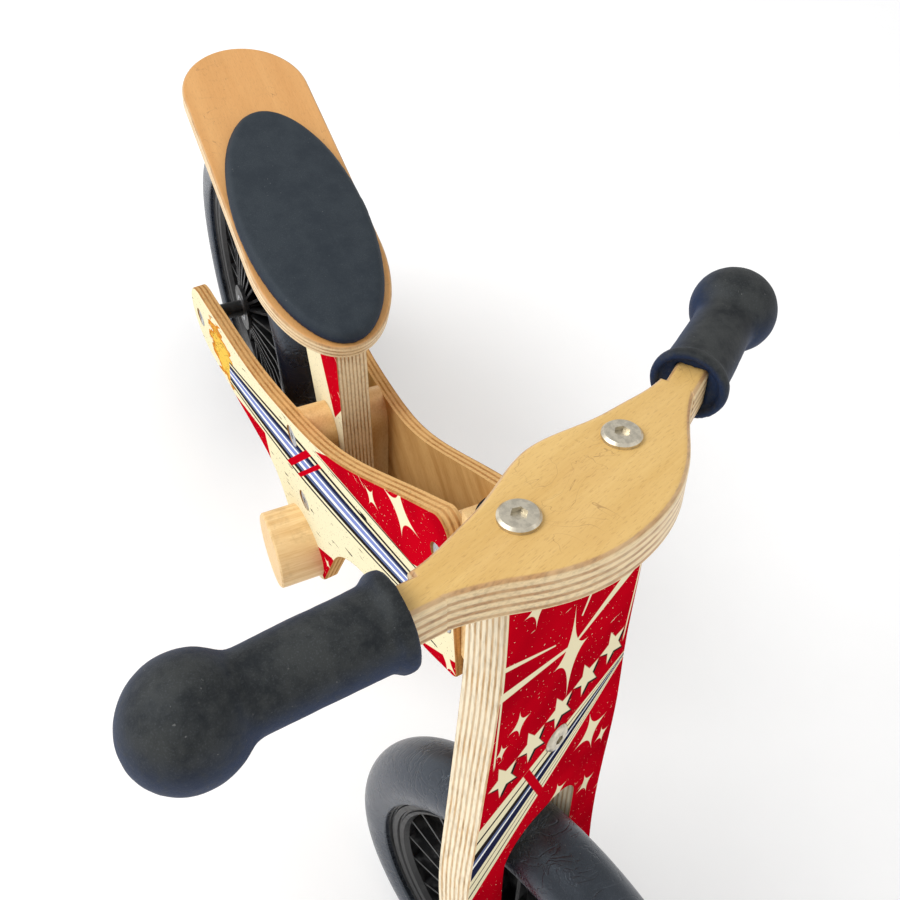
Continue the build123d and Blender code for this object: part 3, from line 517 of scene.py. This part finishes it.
def panel_material():
    """Side panels: printed outer faces, bare inner faces, layers on the edges."""
    shade = Shade("printed_panel", Specular_IOR_Level=0.0)
    x, y, z = shade.parts(shade.mm)
    lean = (REAR_HALF_WIDTH - FRONT_HALF_WIDTH) / (HEAD.x / MM - REAR_AXLE_X)
    half = shade.minus(REAR_HALF_WIDTH, shade.times(shade.minus(x, REAR_AXLE_X), lean))
    depth = shade.minus(half, shade.size(y))
    outward = shade.times(shade.parts(shade.normal)[1], shade.calc("SIGN", y))
    inner, inner_height = veneer(shade, shade.mm, 0, tone(202, 162, 104), tone(170, 126, 72))
    edge, edge_height = ply_edge(shade, shade.mm, depth, 1.7, tone(216, 172, 114), tone(178, 126, 74), 0)
    on_edge = shade.under(shade.size(outward), 0.9, 0.05)
    bare = shade.blend(on_edge, inner, edge)
    height = shade.level(on_edge, inner_height, edge_height)
    mask = shade.times(shade.over(outward, 0.93, 0.03), shade.under(depth, 4.0, 0.5))
    return printed(shade, panel_print(shade), bare, mask, height, 0.55)


def fork_material():
    """Fork board: printed front, layers along its curved edges, bare back and slot."""
    shade = Shade("printed_fork", Specular_IOR_Level=0.0)
    at = shade.local(steer_matrix)
    u, _, w = shade.parts(at)
    share = shade.calc("DIVIDE", shade.minus(w, FORK_LOW), FORK_LENGTH)
    curve = shade.add("FloatCurve", {"Value": share})
    points = curve.mapping.curves[0].points
    while len(points) < len(FORK_MIDDLE):
        points.new(0.5, 0.5)
    for point, (height, middle) in zip(points, reversed(FORK_MIDDLE)):
        point.location = ((height - FORK_LOW) / FORK_LENGTH, middle / CURVE_REACH)
    curve.mapping.update()
    middle = shade.times(curve.outputs[0], CURVE_REACH)
    depth = shade.minus(shade.plus(middle, FORK_HALF_THICKNESS), u)
    forward = shade.dot(shade.normal, tuple(steer_matrix.to_3x3().col[0]))
    flat, flat_height = veneer(shade, at, 2, tone(224, 184, 122), tone(196, 148, 88))
    edge, edge_height = ply_edge(shade, at, depth, 1.5, tone(246, 232, 204), tone(204, 168, 126), 2)
    on_edge = shade.under(shade.size(forward), 0.6, 0.1)
    bare = shade.blend(on_edge, flat, edge)
    height = shade.level(on_edge, flat_height, edge_height)
    mask = shade.over(forward, 0.75, 0.05)
    return printed(shade, fork_print(shade, at), bare, mask, height, 0.5)


def post_material():
    """Seat post: printed sides, layers on its front and rear edges."""
    shade = Shade("printed_post", Specular_IOR_Level=0.0)
    x, y, z = shade.parts(shade.mm)
    plane = shade.joined(x, z)
    light_marks = print_dust(shade, plane, 0.69, 0.72)
    red = shade.blend(light_marks, RED, CREAM)
    colour = shade.blend(shade.area(plane, POST_RED), cream_ground(shade, plane), red)
    depth = shade.plus(y, POST_HALF_THICKNESS)
    edge, height = ply_edge(shade, shade.mm, depth, 1.25, tone(240, 220, 182), tone(186, 142, 96), 2)
    mask = shade.over(shade.size(shade.parts(shade.normal)[1]), 0.9, 0.04)
    return printed(shade, colour, edge, mask, height, 0.5)


# ---- foam, plastic and metal ----
def foam_material(name, dark, light, blue, cracks, rough, gloss):
    """Black closed-cell foam: pores, pale dust on top, a painted blue reflection on faces that turn sideways
    and downwards, and wavy cracks.
    """
    shade = Shade(name, Specular_IOR_Level=gloss, Specular_Tint=(0.75, 0.86, 1.0, 1.0))
    pores = shade.noise(shade.mm, 1.6, 4.0, 0.7)
    patches = shade.noise(shade.mm, 0.06, 4.0, 0.65)
    colour = shade.blend(shade.over(patches, 0.5, 0.18), dark, light)
    # painted reflection: faces that turn sideways and downwards are blended towards the blue tone, which
    # stands for a reflection and is not the foam's own colour
    painted_blue_reflection = shade.under(shade.parts(shade.normal)[2], 0.45, 0.4)
    colour = shade.blend(painted_blue_reflection, colour, blue)
    dust = shade.times(shade.over(pores, 0.6, 0.1), shade.over(patches, 0.42, 0.2))
    colour = shade.blend(shade.times(dust, 0.3), colour, tone(84, 87, 92))
    flecks = shade.over(shade.noise(shade.mm, 0.5, 2.0), 0.735, 0.02)
    flecks = shade.times(flecks, shade.over(shade.noise(shade.mm, 0.04, 1.0), 0.5, 0.1))
    colour = shade.blend(shade.times(flecks, 0.4), colour, tone(130, 130, 128))
    scuffs = shade.noise(shade.mm, 0.35, 5.0, 0.75)
    colour = shade.blend(shade.times(shade.over(scuffs, 0.58, 0.1), 0.4), colour, light)
    height = shade.plus(shade.times(pores, 0.5), shade.times(scuffs, 0.8))
    if cracks:
        bent = shade.scaled(shade.mm, (1.0, 0.45, 1.0))
        wavy = shade.off_middle(shade.noise(bent, cracks, 3.0, 0.55, 1.2))
        height = shade.plus(height, shade.over(wavy, 0.02, 0.02))
        seam = shade.times(shade.under(wavy, 0.012, 0.01), 0.5)
        colour = shade.blend(seam, colour, tone(12, 12, 14))
    roughness = shade.calc("MULTIPLY_ADD", patches, 0.25, rough)
    return shade.finish(colour, roughness, height, 0.35, 0.0005)


def plastic_material(name, base, rough):
    """Moulded plastic with a fine grain and a film of dust on it."""
    shade = Shade(name, Specular_IOR_Level=0.5)
    grain = shade.noise(shade.mm, 3.0, 2.0)
    dust = shade.over(shade.noise(shade.mm, 0.12, 4.0, 0.7), 0.56, 0.1)
    paler = tuple(min(1.0, channel * 0.8 + 0.05) for channel in base[:3]) + (1.0,)
    colour = shade.blend(shade.times(dust, 0.4), base, paler)
    roughness = shade.calc("MULTIPLY_ADD", dust, 0.18, rough)
    return shade.finish(colour, roughness, grain, 0.12)


def metal_material(name, base, rough):
    """Plated steel with fine scratches and a little tarnish."""
    shade = Shade(name, Metallic=1.0)
    fine = shade.noise(shade.scaled(shade.mm, (1.0, 0.08, 0.3)), 6.0, 2.0)
    stain = shade.noise(shade.mm, 0.35, 4.0, 0.6)
    tarnish = shade.times(shade.over(stain, 0.52, 0.12), 0.6)
    colour = shade.blend(tarnish, base, deeper(base, 0.6))
    roughness = shade.plus(rough, shade.times(stain, 0.2))
    return shade.finish(colour, roughness, fine, 0.08)


def dress(material, *names):
    """Gives one material to CAD pieces."""
    for name in names:
        mesh = nodes[name].data
        mesh.materials.clear()
        mesh.materials.append(material)


HONEY = (tone(224, 188, 120), tone(208, 168, 96))
ORANGE = (tone(220, 166, 102), tone(206, 148, 84))
PEG_WOOD = (tone(236, 204, 152), tone(216, 176, 118))
BLOCK_WOOD = (tone(232, 196, 138), tone(210, 166, 106))
# foam tones: dark, light, and a blue that is painted as a reflection on faces that turn sideways and
# downwards
TYRE_BLACK = (tone(10, 12, 16), tone(22, 25, 31), tone(14, 22, 40))
GRIP_BLACK = (tone(16, 17, 17), tone(52, 53, 51), tone(12, 34, 68))
PAD_BLACK = (tone(36, 42, 48), tone(45, 51, 56), tone(14, 26, 46))
dress(board_material("handlebar_ply", steer_matrix, BAR_TOP, 2.0, 1, *HONEY), "handlebar_board")
dress(board_material("seat_ply", Matrix.Identity(4), SEAT_TOP, 1.7, 0, *ORANGE), "seat_board")
dress(panel_material(), "right_side_panel", "left_side_panel")
dress(fork_material(), "fork_board")
dress(post_material(), "seat_post")
dress(solid_wood("peg_wood", 1, *PEG_WOOD), "right_foot_peg", "left_foot_peg")
dress(solid_wood("block_wood", 2, *BLOCK_WOOD), "head_block", "right_post_block", "left_post_block")
dress(foam_material("tyre_foam", *TYRE_BLACK, cracks=0.07, rough=0.16, gloss=0.8), "rear_tyre", "front_tyre")
dress(plastic_material("wheel_plastic", tone(12, 12, 14), 0.38), "rear_wheel_rim", "front_wheel_rim",
      "rear_wheel_disc", "front_wheel_disc", "rear_spacers", "front_spacers")
dress(plastic_material("bush_plastic", tone(226, 226, 220), 0.45), "steering_bushes")
dress(metal_material("nickel", tone(214, 206, 188), 0.3), "handlebar_bolts", "handlebar_barrel_nuts",
      "bracket_bolt")
dress(metal_material("zinc", tone(186, 188, 190), 0.3), "cross_bolts", "cross_bolt_nuts", "head_bolts",
      "head_bolt_nuts", "rear_axle", "rear_axle_nut", "front_axle", "front_axle_nut", "bracket_nut",
      "bracket_screws", "seat_screws", "foot_peg_screws", "steering_pin", "steering_pin_nut")
dress(metal_material("bearing_steel", tone(150, 152, 156), 0.25), "rear_bearings", "front_bearings",
      "rear_hub_sleeve", "front_hub_sleeve")
dress(metal_material("bracket_steel", tone(52, 52, 56), 0.4), "steering_bracket")


# ---- foam pieces ----
BROAD_LUMPS = 45.0                 # how often the skin's swellings come, in a metre
FINE_LUMPS = 260.0
FINE_SHARE = 0.35


def foam_piece(node, name, voxel, smooth, lump, material):
    """A foam copy of a CAD solid: even small faces, softened corners and a slightly uneven skin."""
    mesh = nodes[node].data.copy()
    piece = bpy.data.objects.new(name, mesh)
    bpy.context.scene.collection.objects.link(piece)
    remesh = piece.modifiers.new("even", "REMESH")
    remesh.mode = "VOXEL"
    remesh.voxel_size = voxel
    soften = piece.modifiers.new("soften", "SMOOTH")
    soften.iterations = smooth
    soften.factor = 0.6
    depsgraph = bpy.context.evaluated_depsgraph_get()
    made = bpy.data.meshes.new_from_object(piece.evaluated_get(depsgraph))
    piece.modifiers.clear()
    piece.data = made
    bpy.data.meshes.remove(mesh)
    normals = [vertex.normal.copy() for vertex in made.vertices]
    for vertex, normal in zip(made.vertices, normals):
        broad = noise.noise(vertex.co * BROAD_LUMPS)
        fine = noise.noise(vertex.co * FINE_LUMPS)
        vertex.co += normal * lump * (broad + FINE_SHARE * fine)
    made.materials.clear()
    made.materials.append(material)
    made.shade_smooth()
    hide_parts(node)
    return piece


GRIP_SKIN = {"voxel": 0.0012, "smooth": 4, "lump": 0.00025}
PAD_SKIN = {"voxel": 0.0014, "smooth": 5, "lump": 0.00018}
PAD_CROWN = 0.0012                 # rise of the pad's middle, with its rim drawn down
PAD_LEVEL = 0.6                    # share of the way out, squared, where it neither rises nor falls

grip_foam = foam_material("grip_foam", *GRIP_BLACK, cracks=0.0, rough=0.5, gloss=0.3)
for side in ("right", "left"):
    grip = foam_piece(side + "_grip", side + "_foam_grip", material=grip_foam, **GRIP_SKIN)
    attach(grip, "steering")

pad_foam = foam_material("pad_foam", *PAD_BLACK, cracks=0.0, rough=0.5, gloss=0.3)
pad = foam_piece("seat_pad", "foam_seat_pad", material=pad_foam, **PAD_SKIN)
pad_low, pad_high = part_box("seat_pad")
pad_middle = (pad_low + pad_high) / 2
pad_half = (pad_high - pad_low) / 2
for vertex in pad.data.vertices:
    out = vertex.co - pad_middle
    across = Vector((out.x / pad_half.x, out.y / pad_half.y))
    height = (vertex.co.z - pad_low.z) / (pad_high.z - pad_low.z)
    vertex.co.z += PAD_CROWN * height * (PAD_LEVEL - across.length_squared)
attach(pad, "seat")


# ---- floor, light and camera ----
LIGHT_AIM = Vector((0.0, 0.0, 0.3))


def stage_floor():
    """A sheet of white paper under the wheels."""
    low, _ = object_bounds()
    reach = 6.0
    corners = [(-reach, -reach), (reach, -reach), (reach, reach), (-reach, reach)]
    mesh = bpy.data.meshes.new("floor")
    mesh.from_pydata([(x, y, low.z) for x, y in corners], [], [(0, 1, 2, 3)])
    floor = bpy.data.objects.new("floor", mesh)
    bpy.context.scene.collection.objects.link(floor)
    shade = Shade("floor_paper", Roughness=0.9, Specular_IOR_Level=0.1,
                  Emission_Color=(1.0, 1.0, 1.0, 1.0), Emission_Strength=0.06)
    speck = shade.noise(shade.at, 40.0, 2.0)
    mesh.materials.append(shade.finish(shade.blend(speck, tone(250, 250, 250), tone(253, 253, 253))))


def area_light(name, place, size, power):
    """A square soft light that points at the bike."""
    light = bpy.data.lights.new(name, "AREA")
    light.shape = "SQUARE"
    light.size = size
    light.energy = power
    lamp = bpy.data.objects.new(name, light)
    lamp.location = place
    lamp.rotation_euler = (LIGHT_AIM - Vector(place)).to_track_quat("-Z", "Y").to_euler()
    bpy.context.scene.collection.objects.link(lamp)


def photo_camera():
    """At the front right of the bike and above it, rolled a little."""
    place = Vector((0.2061, -0.1407, 0.8273))
    aim = Vector((0.0028, 0.0233, 0.4312))
    roll = 0.3224
    data = bpy.data.cameras.new("photo_camera")
    data.sensor_width = 36.0
    data.lens = 37.25
    data.shift_x = -0.0139
    data.shift_y = -0.0948
    data.clip_start = 0.01
    camera = bpy.data.objects.new("photo_camera", data)
    camera.location = place
    camera.rotation_mode = "QUATERNION"
    level = (aim - place).to_track_quat("-Z", "Y")
    camera.rotation_quaternion = level @ Quaternion((0.0, 0.0, 1.0), roll)
    bpy.context.scene.collection.objects.link(camera)
    bpy.context.scene.camera = camera


def studio_light():
    """A white room, a large light at the bike's right and a weak one across from it."""
    world = bpy.data.worlds.new("studio")
    world.use_nodes = True
    background = world.node_tree.nodes["Background"]
    background.inputs["Color"].default_value = (1.0, 1.0, 1.0, 1.0)
    background.inputs["Strength"].default_value = 0.75
    bpy.context.scene.world = world
    bpy.context.scene.view_settings.view_transform = "Standard"
    area_light("window", (-0.9, -1.5, 1.8), size=1.4, power=34.0)
    area_light("fill", (1.6, 1.2, 1.6), size=2.0, power=8.0)


stage_floor()
studio_light()
photo_camera()
